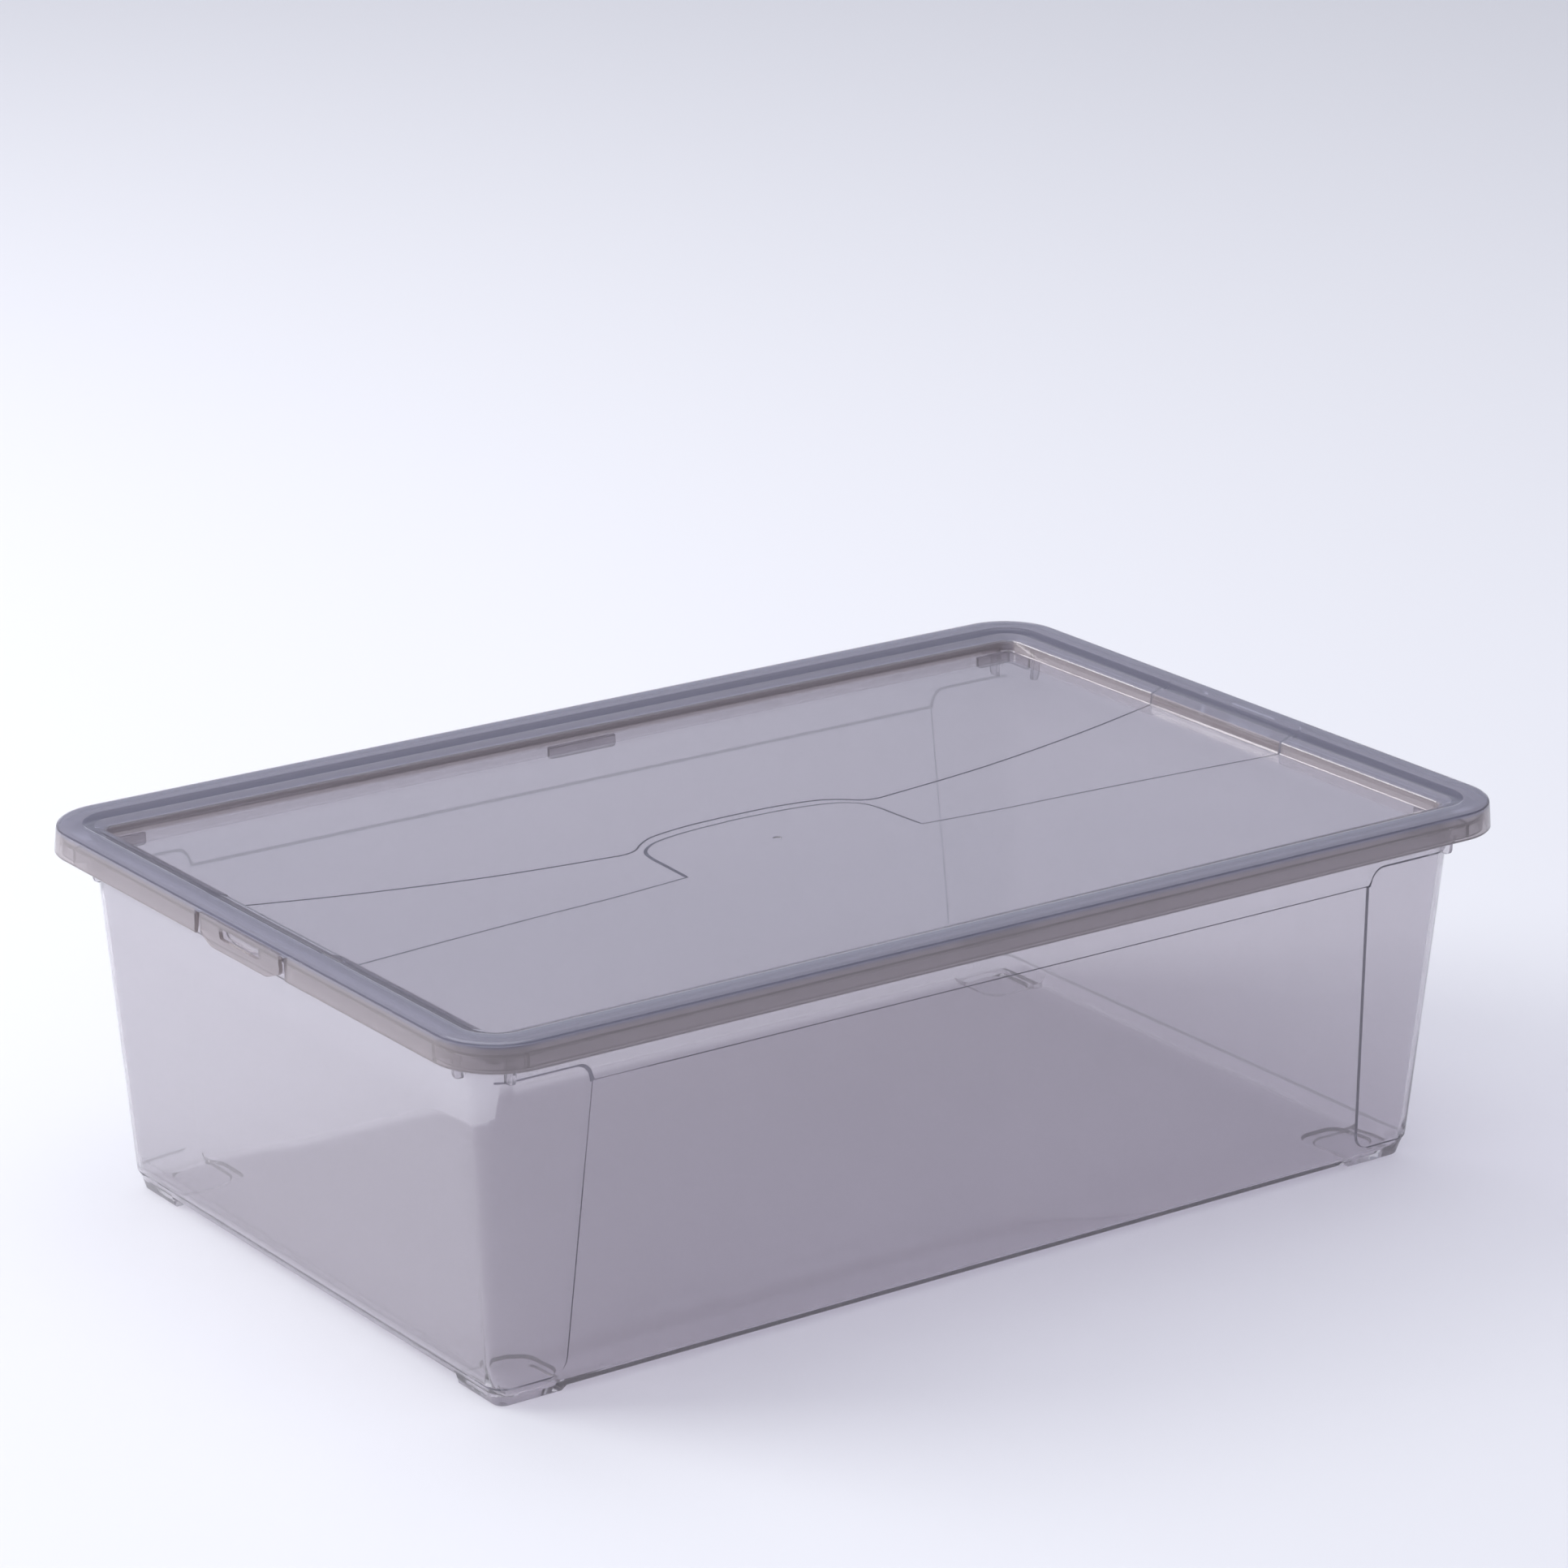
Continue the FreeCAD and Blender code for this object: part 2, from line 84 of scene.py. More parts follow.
def ring(form, level, xs, ys, push=0.0, rise=0.0, segments=8):
    """Closed loop of points round a rounded rectangle. form(z) gives half x, half y and corner
    radius; push moves a point outwards and rise moves it up, each a number or a function."""
    half_x, half_y, radius = form(level)
    cx, cy = half_x - radius, half_y - radius
    places = [("x", 1, y) for y in [-cy, *ys, cy]]
    places += [("c", 0, k) for k in range(1, segments)]
    places += [("y", 1, x) for x in [cx, *reversed(xs), -cx]]
    places += [("c", 1, k) for k in range(1, segments)]
    places += [("x", -1, y) for y in [cy, *reversed(ys), -cy]]
    places += [("c", 2, k) for k in range(1, segments)]
    places += [("y", -1, x) for x in [-cx, *xs, cx]]
    places += [("c", 3, k) for k in range(1, segments)]

    def locate(kind, sign, value, a, b, r):
        if kind == "x":
            return a * sign, value, sign, 0.0
        if kind == "y":
            return value, b * sign, 0.0, sign
        angle = math.pi / 2 * (sign + value / segments)
        nx, ny = math.cos(angle), math.sin(angle)
        mid_x, mid_y = math.copysign(a - r, nx), math.copysign(b - r, ny)
        return mid_x + r * nx, mid_y + r * ny, nx, ny

    points = []
    for kind, sign, value in places:
        x, y, nx, ny = locate(kind, sign, value, half_x, half_y, radius)
        z = level + (rise(x, y) if callable(rise) else rise)
        x, y, nx, ny = locate(kind, sign, value, *form(z))
        out = push(x, y, nx, ny) if callable(push) else push
        points.append(Vector((x + out * nx, y + out * ny, z)))
    return points


def fixed(half_x, half_y, radius):
    """Form of a rounded rectangle that is the same at every level."""
    return lambda z: (half_x, half_y, radius)


def inside(polygon, x, y):
    """Whether a place is inside a closed polyline."""
    found = False
    for (x0, y0), (x1, y1) in zip(polygon, polygon[1:] + polygon[:1]):
        if (y0 > y) != (y1 > y) and x < (x1 - x0) * (y - y0) / (y1 - y0) + x0:
            found = not found
    return found


def offset(line, distance, closed=False):
    """The same polyline moved to its left by a distance."""
    moved = []
    count = len(line)
    for i, (x, y) in enumerate(line):
        before = line[i - 1] if (i or closed) else line[i]
        after = line[(i + 1) % count] if (i < count - 1 or closed) else line[i]
        dx, dy = after[0] - before[0], after[1] - before[1]
        size = math.hypot(dx, dy) or 1.0
        moved.append((x - dy / size * distance, y + dx / size * distance))
    return moved


def distance_to(line, x, y):
    """Distance from a place to a polyline."""
    best = 1e9
    for (x0, y0), (x1, y1) in zip(line, line[1:]):
        dx, dy = x1 - x0, y1 - y0
        t = min(max(((x - x0) * dx + (y - y0) * dy) / (dx * dx + dy * dy), 0.0), 1.0)
        best = min(best, math.hypot(x - x0 - t * dx, y - y0 - t * dy))
    return best


def spline(points, steps=6):
    """Smooth curve through points."""
    ends = [points[0]] + list(points) + [points[-1]]
    line = []
    for i in range(len(points) - 1):
        p0, p1, p2, p3 = (Vector(ends[i + k]) for k in range(4))
        for k in range(steps):
            t = k / steps
            line.append(tuple(0.5 * (2 * p1 + (p2 - p0) * t + (2 * p0 - 5 * p1 + 4 * p2 - p3) * t * t
                                     + (3 * p1 - p0 - 3 * p2 + p3) * t ** 3)))
    return line + [tuple(points[-1])]


def rounded(low_x, high_x, low_y, high_y, radius, segments=5):
    """Closed rounded rectangle, anticlockwise."""
    line = []
    for index, (cx, cy) in enumerate(((high_x - radius, high_y - radius), (low_x + radius, high_y - radius),
                                      (low_x + radius, low_y + radius), (high_x - radius, low_y + radius))):
        for k in range(segments + 1):
            angle = math.pi / 2 * (index + k / segments)
            line.append((cx + radius * math.cos(angle), cy + radius * math.sin(angle)))
    return line


class Mesh:
    """Collects points and faces in millimetres and makes a welded object of them."""

    def __init__(self):
        self.points, self.faces = [], []

    def add(self, points, faces):
        start = len(self.points)
        self.points += [tuple(p) for p in points]
        self.faces += [tuple(start + i for i in face) for face in faces]

    def shell(self, rings):
        """Bands of quads from each ring to the next."""
        count = len(rings[0])
        points = [p for loop in rings for p in loop]
        faces = []
        for row in range(len(rings) - 1):
            for i in range(count):
                j = (i + 1) % count
                a, b = row * count, (row + 1) * count
                faces.append((a + i, a + j, b + j, b + i))
        self.add(points, faces)

    def patch(self, boundary, height, lines=(), loops=(), spacing=9.0, up=True, holes=(), lift=None):
        """Fill inside a boundary, split along lines; height(x, y) or lift(x, y) places each point."""
        flat = [Vector((p[0], p[1])) for p in boundary]
        outer = [(p.x, p.y) for p in flat]
        count = len(flat)
        edges = [(i, (i + 1) % count) for i in range(count)]
        kept = list(outer)
        for line, closed in [(line, False) for line in lines] + [(loop, True) for loop in (*loops, *holes)]:
            start = len(flat)
            flat += [Vector(p) for p in line]
            kept += list(line)
            edges += [(start + i, start + i + 1) for i in range(len(line) - 1)]
            if closed:
                edges.append((start + len(line) - 1, start))
        xs, ys = [p[0] for p in outer], [p[1] for p in outer]
        x = min(xs) + spacing / 2
        while x < max(xs):
            y = min(ys) + spacing / 2
            while y < max(ys):
                near = min((px - x) ** 2 + (py - y) ** 2 for px, py in kept)
                if near > (spacing * 0.3) ** 2 and inside(outer, x, y):
                    flat.append(Vector((x, y)))
                y += spacing
            x += spacing
        points, _, faces, origin, _, _ = delaunay_2d_cdt(flat, edges, [], 0, 1e-5, True)
        solid = []
        for face in faces:
            cx = sum(points[i].x for i in face) / len(face)
            cy = sum(points[i].y for i in face) / len(face)
            if inside(outer, cx, cy) and not any(inside(list(hole), cx, cy) for hole in holes):
                solid.append(tuple(face) if up else tuple(reversed(face)))
        places = []
        for p, sources in zip(points, origin):
            edge = [i for i in sources if i < count]
            if edge and lift is None:
                places.append(tuple(boundary[edge[0]]))
            else:
                places.append((p.x, p.y, height(p.x, p.y)) if lift is None else lift(p.x, p.y))
        used = sorted({i for face in solid for i in face})
        new = {old: i for i, old in enumerate(used)}
        self.add([places[i] for i in used], [tuple(new[i] for i in face) for face in solid])

    def prism(self, outline, place, low, high):
        """Solid over a convex outline; place(u, v, w) puts a point in the frame."""
        count = len(outline)
        points = [place(u, v, low) for u, v in outline] + [place(u, v, high) for u, v in outline]
        faces = [tuple(reversed(range(count))), tuple(range(count, 2 * count))]
        faces += [(i, (i + 1) % count, count + (i + 1) % count, count + i) for i in range(count)]
        self.add(points, faces)

    def make(self, name, material, extras=(), slot_at=None, angle=32):
        """Welded object, smooth below an angle; slot_at(x, y, z) gives a face's material number."""
        data = bpy.data.meshes.new(name)
        data.from_pydata([(x / 1000, y / 1000, z / 1000) for x, y, z in self.points], [], self.faces)
        obj = bpy.data.objects.new(name, data)
        bpy.context.scene.collection.objects.link(obj)
        work = bmesh.new()
        work.from_mesh(data)
        bmesh.ops.remove_doubles(work, verts=work.verts, dist=2e-6)
        bmesh.ops.dissolve_degenerate(work, edges=work.edges, dist=1e-6)
        bmesh.ops.recalc_face_normals(work, faces=work.faces)
        if slot_at:
            for face in work.faces:
                centre = face.calc_center_median() * 1000
                face.material_index = slot_at(centre.x, centre.y, centre.z)
        limit = math.radians(angle)
        for face in work.faces:
            face.smooth = True
        for edge in work.edges:
            joined = len(edge.link_faces) == 2 and edge.calc_face_angle(0) < limit
            slots = {face.material_index for face in edge.link_faces}
            edge.smooth = joined and not (1 in slots and len(slots) > 1)
        work.to_mesh(data)
        work.free()
        data.materials.append(material)
        for extra in extras:
            data.materials.append(extra)
        return obj


# ---------------------------------------------------------------- materials
def clear_plastic(name, tint, shade, haze, rough=0.005):
    """Smoke-grey moulded plastic: clear, slightly hazy, with faint flow marks."""
    material = bpy.data.materials.new(name)
    material.use_nodes = True
    nodes, links = material.node_tree.nodes, material.node_tree.links
    nodes.clear()
    output = nodes.new("ShaderNodeOutputMaterial")
    plastic = nodes.new("ShaderNodeBsdfPrincipled")
    plastic.inputs["Base Color"].default_value = (*tint, 1)
    plastic.inputs["IOR"].default_value = 1.49
    plastic.inputs["Transmission Weight"].default_value = 1 - haze
    place = nodes.new("ShaderNodeTexCoord")
    marks = nodes.new("ShaderNodeTexNoise")
    marks.inputs["Scale"].default_value = 22.0
    marks.inputs["Detail"].default_value = 5.0
    marks.inputs["Distortion"].default_value = 0.8
    links.new(place.outputs["Object"], marks.inputs["Vector"])
    spread = nodes.new("ShaderNodeMapRange")
    spread.inputs["From Min"].default_value = 0.35
    spread.inputs["From Max"].default_value = 0.7
    spread.inputs["To Min"].default_value = rough
    spread.inputs["To Max"].default_value = rough + 0.025
    links.new(marks.outputs["Fac"], spread.inputs["Value"])
    links.new(spread.outputs["Result"], plastic.inputs["Roughness"])
    bump = nodes.new("ShaderNodeBump")
    bump.inputs["Strength"].default_value = 0.05
    bump.inputs["Distance"].default_value = 0.0004
    links.new(marks.outputs["Fac"], bump.inputs["Height"])
    links.new(bump.outputs["Normal"], plastic.inputs["Normal"])
    clear = nodes.new("ShaderNodeBsdfTransparent")
    clear.inputs["Color"].default_value = (*shade, 1)
    path = nodes.new("ShaderNodeLightPath")
    mix = nodes.new("ShaderNodeMixShader")
    links.new(path.outputs["Is Shadow Ray"], mix.inputs["Fac"])
    links.new(plastic.outputs["BSDF"], mix.inputs[1])
    links.new(clear.outputs["BSDF"], mix.inputs[2])
    links.new(mix.outputs["Shader"], output.inputs["Surface"])
    return material


def painted_step_shade(name, colour, cover):
    """Painted shade on the face of a moulded step: a dark, partly opaque colour where light leaves sideways
    and the plastic looks dark.
    """
    material = bpy.data.materials.new(name)
    material.use_nodes = True
    plastic = material.node_tree.nodes["Principled BSDF"]
    plastic.inputs["Base Color"].default_value = (*colour, 1)
    plastic.inputs["Roughness"].default_value = 0.25
    plastic.inputs["Alpha"].default_value = cover
    return material


# ---------------------------------------------------------------- tub
def tub_form(z):
    """Half length, half width and corner radius of the window's surface at a level."""
    return BASE_X + SLOPE * (z - FOOT), BASE_Y + SLOPE * (z - FOOT), 5.0 + 0.04 * z


def line_x(z):
    """Where the window's upright edge stands at a height, swinging outwards at its foot."""
    x = LINE_TOP + (COLLAR_LINE - min(z, COLLAR_LINE)) * 0.058
    drop = LOW_LINE + LOW_BEND - z
    if drop > 0:
        x += LOW_BEND - math.sqrt(max(LOW_BEND ** 2 - min(drop, LOW_BEND) ** 2, 0.0))
    return x


def tub_xs(z):
    """Columns of the long walls at a level, close together at the window's edge."""
    edge = line_x(z)
    foot = min(FOOT_X, edge - 2.0)
    half = [edge * 0.4, edge * 0.8, foot - 0.3, foot + 0.3, edge - STEP_HALF, edge + STEP_HALF]
    half += [edge + 0.5 + d for d in (0.4, 0.9, 1.5, 2.3, 3.3, 4.4, 5.6)]
    return [-x for x in reversed(half)] + [0.0] + half


def wall_ys(z):
    """Columns of the end walls at a level."""
    _, half_y, radius = tub_form(z)
    reach = half_y - radius
    half = [reach * 0.4, FOOT_Y - 0.3, FOOT_Y + 0.3, reach * 0.93]
    return [-y for y in reversed(half)] + [0.0] + half


FLANGE_YS = [-95.7, -95.1, -60.0, -30.0, 0.0, 30.0, 60.0, 95.1, 95.7]


def on_foot(x, y):
    return abs(x) > FOOT_X and abs(y) > FOOT_Y


def base_push(foot, end, side):
    """Inset of the tub's lower edge: feet apart, ends more than sides."""
    return lambda x, y, nx, ny: -foot if on_foot(x, y) else -(end * abs(nx) + side * abs(ny))


def make_tub(material, edge, light_side_shade):
    mesh = Mesh()
    rings = []

    def wall(level, push=0.0, rise=0.0):
        rings.append(ring(tub_form, level, tub_xs(level), wall_ys(level), push, rise))

    def skin(level):
        return lambda x, y, nx, ny: 0.0 if abs(x) < line_x(level) and abs(ny) > 0.5 else SKIN

    def collar_rise(x, y, shift=0.0):
        """Quarter round from the window's top edge up to the collar's line at the corners."""
        t = min(max((abs(x) - LINE_TOP - 0.6 - shift) / 4.6, 0.0), 1.0)
        return COLLAR_RISE * math.sqrt(1 - (1 - t) ** 2)

    wall(FOOT, base_push(1.9, 4.2, 1.2), lambda x, y: -FOOT if on_foot(x, y) else 0.0)
    wall(FOOT + 0.6, base_push(1.4, 1.9, 0.35), lambda x, y: 0.5 - FOOT - 0.6 if on_foot(x, y) else 0.0)
    wall(3.6, base_push(0.7, 0.5, 0.05))
    wall(LOW_LINE - 0.5)
    for level in (6.25, 7.0, 8.0, 9.2, 10.7, 25.0, 45.0, 65.0, 82.0):
        wall(level, skin(level))
    below, above = COLLAR_LINE - 0.4, COLLAR_LINE + 0.4
    wall(below, skin(below), lambda x, y: collar_rise(x, y, STEP_HALF))
    wall(above, COLLAR, lambda x, y: collar_rise(x, y, -STEP_HALF))
    wall(99.5, COLLAR)
    wall(106.6, COLLAR)
    wall(107.1, COLLAR + 0.6)

    def flange(form, level, rise=0.0):
        rings.append(ring(form, level, tub_xs(COLLAR_LINE), FLANGE_YS, 0.0, rise))

    def end_drop(x, y):
        return -1.5 if abs(x) > 170 and abs(y) < 95.4 else 0.0

    # flange and its turned-down lip, then down the inside
    flange(fixed(176.4, 114.6, 15.3), 107.1)
    flange(fixed(176.4, 114.6, 15.3), 104.1, end_drop)
    flange(fixed(176.7, 114.9, 15.6), 103.8, end_drop)
    flange(fixed(177.3, 115.5, 16.2), 103.8, end_drop)
    flange(fixed(177.6, 115.8, 16.5), 104.1, end_drop)
    flange(fixed(177.6, 115.8, 16.5), 107.7)
    flange(fixed(177.0, 115.2, 15.9), 108.3)
    wall(108.3, -0.7)
    wall(107.7, -WALL)
    for level in (91.0, 45.0, 12.0):
        wall(level, -WALL)
    top = FOOT + FLOOR
    wall(top + 2.6, lambda x, y, nx, ny: -(1.2 + 0.8 * abs(nx)))
    wall(top + 0.7, lambda x, y, nx, ny: -(1.7 + 2.2 * abs(nx)))
    wall(top, lambda x, y, nx, ny: -(2.7 + 3.4 * abs(nx)))
    mesh.shell(rings)

    # underside, with the inner edges of the feet
    base = rings[0]
    lines = []
    for sx in (1, -1):
        for sy in (1, -1):
            for shift in (-0.3, 0.3):
                foot_x, foot_y = FOOT_X + shift, FOOT_Y + shift
                side = min(base, key=lambda p: abs(p.x - sx * foot_x) + (0 if p.y * sy > 80 else 99))
                end = min(base, key=lambda p: abs(p.y - sy * foot_y) + (0 if p.x * sx > 140 else 99))
                bend = 6.0 - shift
                arc = [(foot_x + bend * (1 - math.cos(a)), foot_y + bend * (1 - math.sin(a)))
                       for a in (math.pi / 2 * k / 6 for k in range(7))]
                lines.append([(side.x, side.y), *((sx * x, sy * y) for x, y in arc), (end.x, end.y)])

    def under(x, y):
        x, y = abs(x) - FOOT_X, abs(y) - FOOT_Y
        if x < 0 or y < 0 or (x < 6 and y < 6 and math.hypot(6 - x, 6 - y) > 6):
            return FOOT
        return 0.0

    mesh.patch(base, under, lines=lines, spacing=12.0, up=False)

    # upper side of the floor, with the hollow of each foot
    loops, centres = [], []
    for sx in (1, -1):
        for sy in (1, -1):
            box = (sorted((sx * 137.0, sx * 153.5)), sorted((sy * 73.5, sy * 92.0)))
            middle = rounded(*box[0], *box[1], 5.0)
            centres.append(middle)
            loops += [offset(middle, -0.3, True), offset(middle, 0.3, True)]
    mesh.patch(rings[-1], lambda x, y: top - (1.0 if any(inside(c, x, y) for c in centres) else 0.0),
               loops=loops, spacing=12.0)

    # gusset ribs under the flange, two at each corner, and the catch lugs on the end lips
    gusset = [(0, 96.6), (2.6, 96.6), (3.6, 97.0), (4.1, 98.0), (4.4, 103.0), (10.0, 104.0),
              (10.0, 107.4), (0, 107.4)]
    for sx in (1, -1):
        for sy in (1, -1):
            mesh.prism(gusset, lambda u, v, w: (sx * (162.0 + w), sy * (105.2 + u), v), -0.6, 0.6)
            mesh.prism(gusset, lambda u, v, w: (sx * (168.8 + u * 0.8), sy * (95.4 + w), v), -0.6, 0.6)
    lug = [(9.5 * math.cos(math.pi * k / 12), 108.0 - 2.6 * math.sin(math.pi * k / 12)) for k in range(13)]
    for sx in (1, -1):
        mesh.prism(lug, lambda u, v, w: (sx * w, u, v), 177.2, 178.4)

    def slot_at(x, y, z):
        """1 for faces of moulded steps, which get a painted dark shade, 2 for the window's edges that face
        the light, which get a lighter painted shade, else 0.
        """
        out_x, out_y, _ = tub_form(z)
        inner = abs(x) < out_x - 4 and abs(y) < out_y - 0.9
        if inner or not 5.7 <= z <= 103.5:
            return 0
        if abs(z - COLLAR_LINE - collar_rise(x, y)) < 0.42:
            return int(abs(x) < out_x - 3)
        on_side = abs(abs(x) - line_x(z)) < 0.34 and abs(y) > out_y - 0.9
        if on_side and z < COLLAR_LINE:
            return 1 if x * y > 0 else 2
        return int(z < 6.19 and abs(x) > line_x(LOW_LINE))

    # The two extra materials are painted shade: dark on step faces, lighter on the window's edges that face
    # the light.
    return mesh.make("tub_body", material, [edge, light_side_shade], slot_at)


# ---------------------------------------------------------------- lid
LID_XS = [-120.0, -60.0, 0.0, 60.0, 120.0]
LID_YS = sorted([-85.0, -55.0, 0.0, 55.0, 85.0, -NOTCH - 0.15, -NOTCH + 0.15, NOTCH - 0.15, NOTCH + 0.15,
                 BAND_BACK - STEP_BACK / 2, BAND_BACK + STEP_BACK / 2,
                 BAND_FRONT - STEP_FRONT / 2, BAND_FRONT + STEP_FRONT / 2])


def sag(x, y):
    """How far the lid's panel hangs down at a place."""
    return SAG * (1 - (x / PANEL_X) ** 2) * (1 - (y / PANEL_Y) ** 2)


def band_at_end(x, y):
    return abs(x) > PANEL_X - 3 and BAND_FRONT < y < BAND_BACK


def in_notch(x, y):
    return abs(x) > 170 and abs(y) < NOTCH


def wave_lines():
    """Back and front lines of the panel's band, from left to right, each with its step's two edges."""
    back = spline([(0, 24.1), (15, 23.6), (29, 21.2), (36, 17.4), (40, 14.0), (44.5, 12.4), (52, 12.8),
                   (89, 16.6), (130, 23.6), (PANEL_X, BAND_BACK)])
    arch = spline([(0, 20.5), (18, 19.4), (30, 17.0), (35.5, 14.2), (39, 10.4), (40.4, 5.0),
                   (40.8, -2.0), (41.6, -14.2)])
    flank = spline([(41.6, -14.2), (69, -17.6), (97, -20.2), (130, -24.4), (PANEL_X, BAND_FRONT)])
    front = arch + flank[1:]
    lines = []
    for half, start, step in ((back, BAND_BACK, STEP_BACK), (front, BAND_FRONT, STEP_FRONT)):
        middle = [(-x, y) for x, y in reversed(half[1:])] + half
        pair = []
        for side in (step / 2, -step / 2):
            moved = offset(middle, side)
            moved[0], moved[-1] = (-PANEL_X, start + side), (PANEL_X, start + side)
            pair.append(moved)
        lines.append((middle, pair))
    return lines


def make_lid(material, edge, rim, skirt):
    mesh = Mesh()
    rings = []

    def row(half_x, half_y, radius, level, push=0.0, rise=0.0):
        rings.append(ring(fixed(half_x, half_y, radius), level, LID_XS, LID_YS, push, rise, 12))

    def sunk(x, y, nx, ny):
        return BAND_DEPTH * 0.7 if band_at_end(x, y) else 0.0

    def low(x, y):
        return -BAND_DEPTH * 0.9 if band_at_end(x, y) else 0.0

    # from the panel's edge up the tray wall, over the rim, down the skirt and back underneath
    row(PANEL_X, PANEL_Y, 3.5, PANEL, 0.0, low)
    row(164.45, 102.6, 3.75, PANEL + 0.35, sunk)
    row(164.65, 102.8, 3.95, 109.3, sunk)
    row(164.95, 103.1, 4.25, 109.75, sunk, low)
    row(168.4, 106.5, 7.7, 111.0, 0.0, low)
    row(171.7, 109.8, 11.0, 112.02, 0.0, low)
    row(172.2, 110.3, 11.5, 112.18)
    row(172.8, 110.9, 12.1, 112.24)
    row(177.7, 115.9, 17.0, TOP)
    row(178.55, 116.75, 17.85, 112.12)
    row(179.05, 117.25, 18.35, 111.75)
    row(179.25, 117.45, 18.55, 111.25)

    def notch_rise(level):
        return lambda x, y: NOTCH_TOP - level if in_notch(x, y) else 0.0

    row(179.4, 117.6, 18.7, 110.5, 0.0, notch_rise(110.62))
    row(179.95, 118.15, 19.25, 104.1, 0.0, notch_rise(104.12))
    row(179.75, 117.95, 19.05, 103.8, 0.0, notch_rise(103.8))
    row(179.0, 117.2, 18.3, 103.8, 0.0, notch_rise(103.8))
    row(178.75, 116.95, 18.05, 104.1, 0.0, notch_rise(104.08))
    row(178.1, 116.3, 17.4, 110.7)
    row(177.3, 115.5, 16.6, 111.05)
    row(171.8, 110.0, 11.1, 110.9)
    row(166.1, 104.3, 5.4, 108.8)
    row(165.8, 104.0, 5.1, 108.4)
    row(165.5, 103.7, 4.8, 105.3)
    row(165.1, 103.3, 4.4, PANEL_UNDER)
    mesh.shell(rings)

    (back, back_pair), (front, front_pair) = wave_lines()
    past = PANEL_X + 35.8
    band = [(-past, back[0][1]), *back, (past, back[-1][1])]
    band += [(past, front[-1][1]), *reversed(front), (-past, front[0][1])]
    turns = [math.tau * k / 16 for k in range(16)]
    gate = [(1.1 * math.cos(turn), 1.1 * math.sin(turn)) for turn in turns]
    gate_edge = [(1.35 * x / 1.1, 1.35 * y / 1.1) for x, y in gate]

    def panel_height(x, y):
        mark = 0.25 if math.hypot(x, y) < 1.2 else 0.0
        return PANEL - sag(x, y) - (BAND_DEPTH if inside(band, x, y) else 0.0) - mark

    mesh.patch(rings[0], panel_height, lines=back_pair + front_pair, loops=[gate, gate_edge])
    mesh.patch(rings[-1], lambda x, y: PANEL_UNDER - sag(x, y), spacing=14.0, up=False)

    # locating ribs under the panel: one at the middle of each long side, an angle at each corner
    blade = [(-12.0, 106.0), (-12.0, 102.2), (-11.2, 101.7), (11.2, 101.7), (12.0, 102.2), (12.0, 106.0)]
    arm = [(0.0, 106.0), (0.0, 101.7), (12.2, 101.7), (13.0, 102.2), (13.0, 106.0)]
    for sy in (1, -1):
        mesh.prism(blade, lambda u, v, w: (u, sy * w, v), 101.3, 102.5)
        for sx in (1, -1):
            mesh.prism(arm, lambda u, v, w: (sx * (164.4 - u), sy * w, v), 101.3, 102.5)
            mesh.prism(arm, lambda u, v, w: (sx * w, sy * (101.9 - u * 0.82), v), 163.3, 164.3)

    def slot_at(x, y, z):
        """1 for the steps and the rim's outer edge, painted as dark lines of shade, 2 for the rim, painted a
        darker bluish tint as painted shade and painted sky reflection, 3 for skirt and tray wall, painted a
        darker shade, else 0.
        """
        if abs(x) > 164.3 or abs(y) > 102.45:
            on_back = abs(y - BAND_BACK) < STEP_BACK / 2
            on_front = abs(y - BAND_FRONT) < STEP_FRONT / 2
            if 164.3 < abs(x) < 172 and z > 105.6 and (on_back or on_front):
                return 1
            if 111.3 < z < 111.7:
                return 1
            return 2 if z > 109.7 else 3
        if z < PANEL - SAG - 1 or z < PANEL_UNDER + 0.45 - sag(x, y):
            return 0
        on_back = distance_to(back, x, y) < STEP_BACK * 0.42
        on_front = distance_to(front, x, y) < STEP_FRONT * 0.42
        return int(on_back or on_front)

    # The three extra materials are painted shade: dark step and edge lines, a darker bluish rim and a darker
    # skirt.
    return mesh.make("lid_shell", material, [edge, rim, skirt], slot_at)


# ---------------------------------------------------------------- latch tabs
def make_latch(name, side, material):
    """Thumb tab with an eye, its lower half bent a little outwards."""
    outline = [(-14.2, TAB_FOOT), (14.2, TAB_FOOT), (15.6, 102.8), (20.3, 104.6), (TAB, 105.4), (TAB, 110.75),
               (-TAB, 110.75), (-TAB, 105.4), (-20.3, 104.6), (-15.6, 102.8)]
    dense = []
    for (u0, v0), (u1, v1) in zip(outline, outline[1:] + outline[:1]):
        steps = max(1, round(math.hypot(u1 - u0, v1 - v0) / 1.2))
        dense += [(u0 + (u1 - u0) * k / steps, v0 + (v1 - v0) * k / steps) for k in range(steps)]
    eye = rounded(-10.6, 10.6, 105.9, 109.2, 0.9, 4)

    def outward(v):
        lean = 0.55 * (109.0 - max(TAB_FOOT, min(v, 109.0))) / (109.0 - TAB_FOOT)
        return lean - 0.35 * smooth((108.2 - v) / 0.5)

    def place(depth):
        return lambda u, v: (side * (178.85 + depth + outward(v)), u, v)

    mesh = Mesh()
    for depth, up in ((TAB_THICK, side > 0), (0.0, side < 0)):
        mesh.patch([(u, v, 0) for u, v in dense], None, holes=[eye], spacing=1.3, up=up, lift=place(depth))
    for loop in (dense, eye):
        count = len(loop)
        points = [place(0.0)(u, v) for u, v in loop] + [place(TAB_THICK)(u, v) for u, v in loop]
        mesh.add(points, [(i, (i + 1) % count, count + (i + 1) % count, count + i) for i in range(count)])
    return mesh.make(name, material)


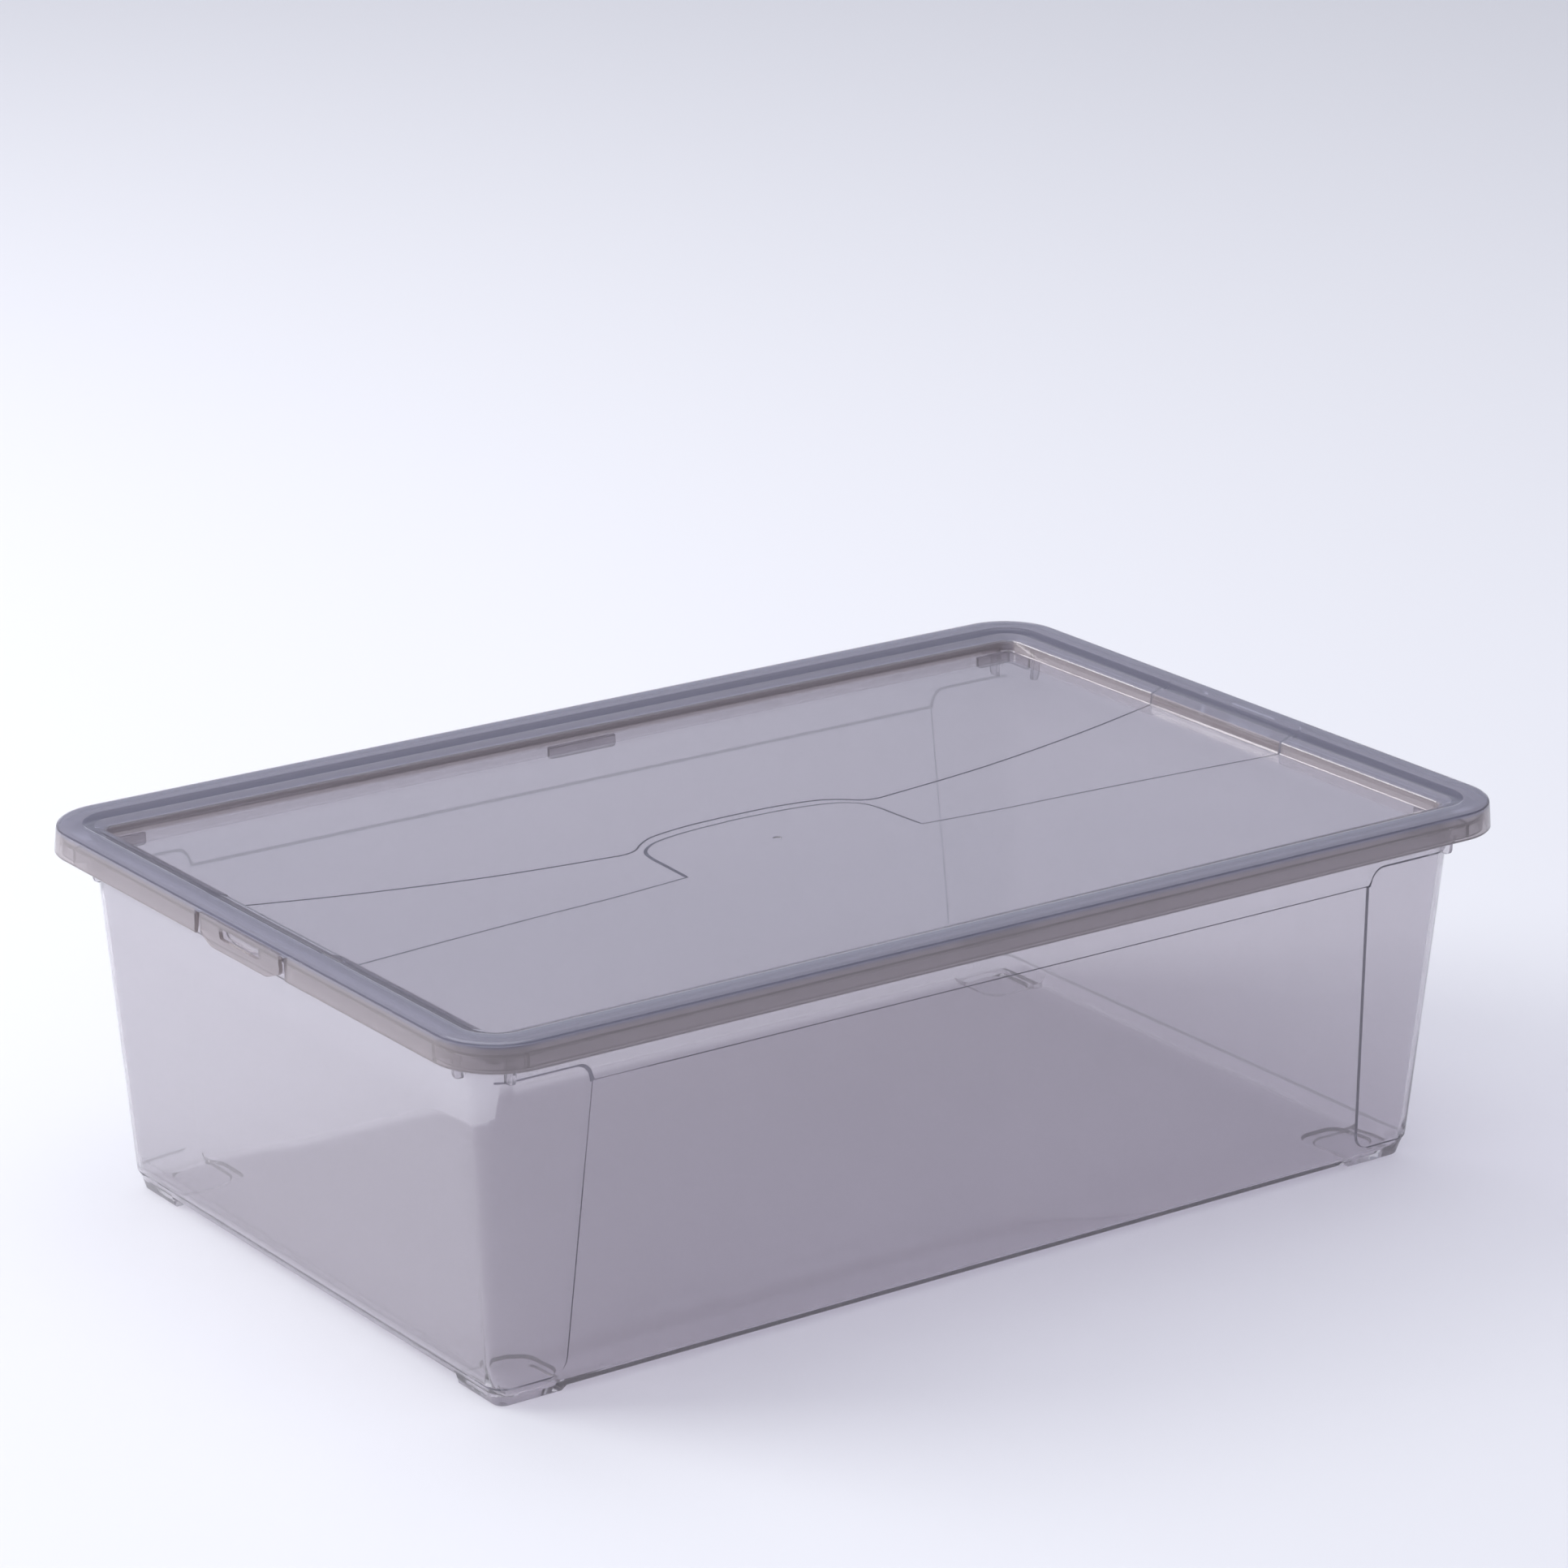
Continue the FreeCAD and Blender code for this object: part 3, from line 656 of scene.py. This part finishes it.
tub_plastic = clear_plastic("tub_plastic", (0.755, 0.735, 0.765), (0.73, 0.715, 0.735), 0.085)
lid_plastic = clear_plastic("lid_plastic", (0.63, 0.61, 0.655), (0.74, 0.73, 0.76), 0.07)
latch_plastic = clear_plastic("latch_plastic", (0.50, 0.46, 0.475), (0.72, 0.69, 0.70), 0.22, 0.06)
# Painted shade: the rim and the skirt are the lid's own plastic in darker tints, the rim's also bluish as a
# painted reflection of the sky.
painted_rim_shade_plastic = clear_plastic("painted_rim_shade_plastic", (0.41, 0.405, 0.49), (0.72, 0.70, 0.73), 0.24, 0.07)
painted_skirt_shade_plastic = clear_plastic("painted_skirt_shade_plastic", (0.50, 0.46, 0.475), (0.72, 0.69, 0.70), 0.22, 0.06)
# Painted shade: dark, partly opaque colours on step faces and edges, standing in for the dark lines that
# light leaving the plastic sideways makes; the lighter one is painted on the tub's edges that face the light.
painted_line_shade = painted_step_shade("painted_line_shade", (0.10, 0.10, 0.15), 0.55)
painted_edge_shade = painted_step_shade("painted_edge_shade", (0.07, 0.07, 0.11), 0.6)
painted_lit_edge_shade = painted_step_shade("painted_lit_edge_shade", (0.36, 0.36, 0.43), 0.3)

tub = make_tub(tub_plastic, painted_edge_shade, painted_lit_edge_shade)
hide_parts("tub")
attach(tub, "tub")
lid = make_lid(lid_plastic, painted_line_shade, painted_rim_shade_plastic, painted_skirt_shade_plastic)
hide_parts("lid")
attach(lid, "lid")
for word, side in (("left", -1), ("right", 1)):
    tab = make_latch(f"latch_{word}_tab", side, latch_plastic)
    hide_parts(f"latch_tab_{word}")
    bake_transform(tab)

# ---------------------------------------------------------------- floor, backdrop, light, camera
sweep = bpy.data.meshes.new("sweep")
SWEEP_START, SWEEP_BEND, SWEEP_RADIUS, SWEEP_HALF = -3.0, 2.2, 0.5, 5.0
profile = [(SWEEP_START, 0.0), (SWEEP_BEND, 0.0)]
for k in range(1, 17):
    turn = math.pi / 2 * k / 16
    profile.append((SWEEP_BEND + SWEEP_RADIUS * math.sin(turn), SWEEP_RADIUS * (1 - math.cos(turn))))
heading = math.radians(-35.07)
along = Vector((math.cos(heading), math.sin(heading), 0))
away = Vector((-math.sin(heading), math.cos(heading), 0))
points, faces = [], []
for distance, height in profile:
    for width in (-SWEEP_HALF, SWEEP_HALF):
        points.append(away * distance + along * width + Vector((0, 0, height - PAPER_GAP)))
for i in range(len(profile) - 1):
    faces.append((2 * i, 2 * i + 1, 2 * i + 3, 2 * i + 2))
sweep.from_pydata([tuple(p) for p in points], [], faces)
for polygon in sweep.polygons:
    polygon.use_smooth = True
backdrop = bpy.data.objects.new("backdrop", sweep)
bpy.context.scene.collection.objects.link(backdrop)
paper = bpy.data.materials.new("paper")
paper.use_nodes = True
paper_shader = paper.node_tree.nodes["Principled BSDF"]
paper_shader.inputs["Base Color"].default_value = (0.72, 0.725, 0.77, 1)
paper_shader.inputs["Roughness"].default_value = 0.9
paper_shader.inputs["Specular IOR Level"].default_value = 0.1
sweep.materials.append(paper)

world = bpy.data.worlds.new("studio")
bpy.context.scene.world = world
world.use_nodes = True
sky = world.node_tree.nodes
height = sky.new("ShaderNodeTexCoord")
split = sky.new("ShaderNodeSeparateXYZ")
fade = sky.new("ShaderNodeValToRGB")
fade.color_ramp.elements[0].position = 0.3
fade.color_ramp.elements[0].color = (0.50, 0.52, 0.62, 1)
fade.color_ramp.elements[1].position = 0.65
fade.color_ramp.elements[1].color = (0.93, 0.94, 1.0, 1)
world.node_tree.links.new(height.outputs["Generated"], split.inputs["Vector"])
world.node_tree.links.new(split.outputs["Z"], fade.inputs["Fac"])
world.node_tree.links.new(fade.outputs["Color"], sky["Background"].inputs["Color"])
sky["Background"].inputs["Strength"].default_value = 0.70


def softbox(name, position, target, size, power, colour):
    """Rectangular area light that faces a target."""
    data = bpy.data.lights.new(name, "AREA")
    data.shape = "RECTANGLE"
    data.size, data.size_y = size
    data.energy = power
    data.color = colour
    lamp = bpy.data.objects.new(name, data)
    lamp.location = position
    lamp.rotation_euler = (Vector(target) - Vector(position)).to_track_quat("-Z", "Y").to_euler()
    bpy.context.scene.collection.objects.link(lamp)
    return lamp


softbox("overhead", (-0.3, 0.3, 2.2), (0, 0, 0), (2.4, 2.0), 21, (0.96, 0.975, 1.0))
key_place = tuple(-along * 2.0 + away * 0.2 + Vector((0, 0, 1.3)))
left_key = softbox("left_key", key_place, (0, 0, 0.05), (1.5, 1.3), 45, (1.0, 0.99, 0.98))
left_key.visible_transmission = False

camera_data = bpy.data.cameras.new("camera")
camera_data.sensor_width = 36.0
camera_data.lens = 129.19
camera_data.shift_x = 0.0422
camera_data.shift_y = 0.0334
camera_data.clip_start = 0.05
camera = bpy.data.objects.new("camera", camera_data)
camera.location = (-0.8999, -1.2519, 0.6232)
camera.rotation_euler = Vector((0.5445, 0.7756, -0.3194)).to_track_quat("-Z", "Y").to_euler()
bpy.context.scene.collection.objects.link(camera)
bpy.context.scene.camera = camera
bpy.context.scene.view_settings.view_transform = "Standard"
